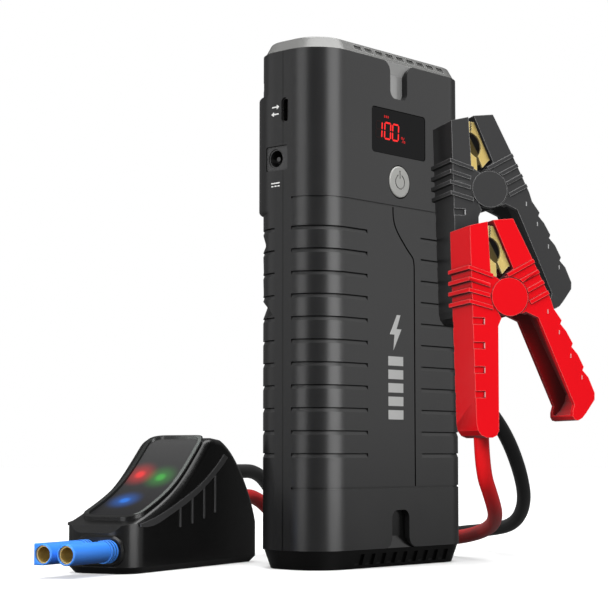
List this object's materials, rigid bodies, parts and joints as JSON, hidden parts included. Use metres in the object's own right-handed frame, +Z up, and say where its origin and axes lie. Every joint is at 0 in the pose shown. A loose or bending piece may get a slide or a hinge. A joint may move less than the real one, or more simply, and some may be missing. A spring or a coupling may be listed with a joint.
{
  "type": "jump starter pack",
  "caption": "Upright battery pack with display, button and ports, beside a lead module with a blue jump plug and red and black cables ending in battery clamps.",
  "frame": {"origin": "middle of the pack's flat base, on the surface it stands on", "axes": "+X along the pack's width to its right, +Y from the front face to the back, +Z up"},
  "size_m": [0.2412, 0.1646, 0.19],
  "materials": {
    "body_grey": "fine satin",
    "cap_silver": "metallic satin",
    "base_black": "satin",
    "rubber": "matte",
    "window": "smoked gloss",
    "display": "segment display",
    "button": "satin light grey",
    "inner_plastic": "moulded",
    "board": "solder mask",
    "cell_foil": "pouch foil",
    "copper": "rolled",
    "socket_steel": "plated",
    "tongue_white": "moulded",
    "gold_pins": "gold plated",
    "lens": "clear",
    "reflector": "mirror",
    "led": "diode",
    "module_black": "gloss",
    "panel": "satin grey",
    "plug_blue": "satin",
    "clamp_red": "gloss",
    "clamp_black": "gloss",
    "jaw_gold": "plated",
    "cable_red": "satin",
    "cable_black": "satin"
  },
  "bodies": {
    "pack": {"front_shell": "body_grey", "rear_shell": "body_grey", "top_cap": "cap_silver", "bottom_cap": "base_black", "rubber_feet": "rubber", "display_window": "window", "display_module": "display", "button_switch": "inner_plastic", "front_board": "board", "battery_cells": "cell_foil", "cell_tray": "inner_plastic", "bus_bars": "copper", "foam_pad": "rubber", "main_board": "board", "usb_c_socket": "socket_steel", "usb_c_tongue": "inner_plastic", "dc_jack": "inner_plastic", "dc_jack_pin": "socket_steel", "jump_socket": "inner_plastic", "jump_socket_pins": "gold_pins", "cover_hinge_pin": "socket_steel", "usb_a_sockets": "socket_steel", "usb_a_tongues": "tongue_white", "side_board": "board", "torch_lens": "lens", "torch_reflector": "reflector", "torch_board": "board", "torch_leds": "led", "case_screws": "socket_steel", "base_screws": "socket_steel"},
    "power_button": {"power_button": "button"},
    "jump_socket_cover": {"jump_socket_cover": "rubber"},
    "lead_set": {"module_upper_shell": "module_black", "module_lower_shell": "module_black", "module_panel": "panel", "module_leds": "led", "module_board": "board", "module_relays": "inner_plastic", "module_screws": "socket_steel", "jump_plug": "plug_blue", "plug_contacts": "gold_pins", "plug_collar": "module_black", "cable_glands": "rubber", "red_cable": "cable_red", "black_cable": "cable_black", "red_clamp_fixed_half": "clamp_red", "red_clamp_fixed_jaw": "jaw_gold", "red_clamp_pivot_pin": "socket_steel", "red_clamp_spring": "socket_steel", "black_clamp_fixed_half": "clamp_black", "black_clamp_fixed_jaw": "jaw_gold", "black_clamp_pivot_pin": "socket_steel", "black_clamp_spring": "socket_steel"},
    "red_jaw": {"red_clamp_moving_half": "clamp_red", "red_clamp_moving_jaw": "jaw_gold"},
    "black_jaw": {"black_clamp_moving_half": "clamp_black", "black_clamp_moving_jaw": "jaw_gold"}
  },
  "joints": [
    {"name": "button_press", "type": "slide", "parent": "pack", "child": "power_button", "axis": [0, 1, 0], "range_m": [0, 0.0008], "stiffness_N_per_m": 600, "springref_m": -0.0005},
    {"name": "cover_hinge", "type": "hinge", "parent": "pack", "child": "jump_socket_cover", "pos_m": [0.045, 0.0086, 0.15], "axis": [0, 0, 1], "range_deg": [0, 110]},
    {"name": "lead_set_lift", "type": "slide", "parent": "pack", "child": "lead_set", "axis": [0, 0, 1], "range_m": [0, 0.2]},
    {"name": "red_jaw_hinge", "type": "hinge", "parent": "lead_set", "child": "red_jaw", "pos_m": [0.01167, -0.05387, 0.096], "axis": [0.5373, 0.8434, 0], "range_deg": [0, 26], "stiffness_Nm_per_rad": 0.35, "springref_deg": -28.65},
    {"name": "black_jaw_hinge", "type": "hinge", "parent": "lead_set", "child": "black_jaw", "pos_m": [0.02477, -0.03617, 0.1378], "axis": [0.5373, 0.8434, 0], "range_deg": [0, 26], "stiffness_Nm_per_rad": 0.35, "springref_deg": -28.65}
  ]
}
